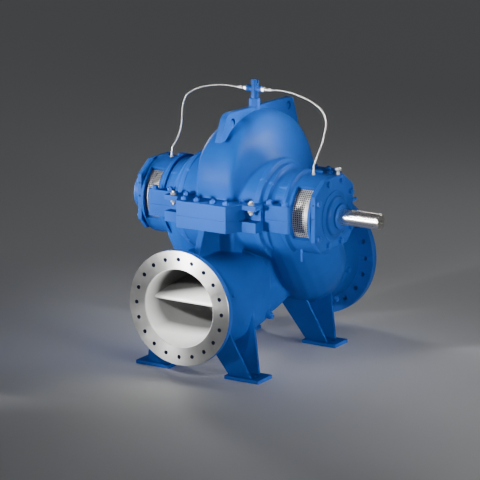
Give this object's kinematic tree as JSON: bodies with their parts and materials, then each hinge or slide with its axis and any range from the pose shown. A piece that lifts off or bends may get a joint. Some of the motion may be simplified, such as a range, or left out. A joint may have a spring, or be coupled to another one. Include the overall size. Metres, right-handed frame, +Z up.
{
  "type": "split case pump",
  "caption": "Horizontal split case pump with a scroll casing on flared feet, round nozzle flanges front and rear, caged bearing brackets, flush tubes and a bare shaft end.",
  "frame": {"origin": "on the floor, under the middle of the whole pump", "axes": "+X along the shaft to the drive end, -Y out of the discharge flange, +Y out of the suction flange, +Z up"},
  "size_m": [1.757, 1.762, 1.764],
  "materials": {
    "blue_paint": "semi-gloss enamel on cast iron",
    "grey_primer": "matt pale grey primer on the machined flange",
    "bright_steel": "turned and ground",
    "stainless": "satin stainless",
    "guard_steel": "satin stainless sheet"
  },
  "bodies": {
    "housing": {"lower_casing": "blue_paint", "upper_casing": "blue_paint", "discharge_nozzle": "blue_paint", "suction_nozzle": "blue_paint", "suction_flange": "blue_paint", "foot_front_drive": "blue_paint", "foot_front_free": "blue_paint", "foot_rear_drive": "blue_paint", "foot_rear_free": "blue_paint", "lifting_plate": "blue_paint", "vent_nut": "blue_paint", "vent_cross": "blue_paint", "bearing_bracket_drive": "blue_paint", "bearing_bracket_free": "blue_paint", "bearing_housing_drive": "blue_paint", "bearing_housing_free": "blue_paint", "bearing_cover_drive": "blue_paint", "bearing_cover_free": "blue_paint", "seal_gland_drive": "blue_paint", "seal_gland_free": "blue_paint", "bearing_probe": "blue_paint", "drip_pipe_drive": "blue_paint", "discharge_flange": "grey_primer", "tube_coupling_drive": "stainless", "tube_coupling_free": "stainless", "flush_tube_drive": "stainless", "flush_tube_free": "stainless", "tube_foot_drive": "stainless", "tube_foot_free": "stainless", "breather_drive": "stainless", "jack_screw_drive": "stainless", "jack_screw_free": "stainless", "guard_front_drive": "guard_steel", "guard_front_free": "guard_steel", "guard_rear_drive": "guard_steel", "guard_rear_free": "guard_steel"},
    "rotor": {"shaft": "bright_steel", "shaft_sleeve_drive": "stainless", "shaft_sleeve_free": "stainless"}
  },
  "joints": [
    {"name": "shaft_spin", "type": "hinge", "parent": "housing", "child": "rotor", "pos_m": [0, -0.122, 0.987], "axis": [1, 0, 0], "continuous": true}
  ]
}
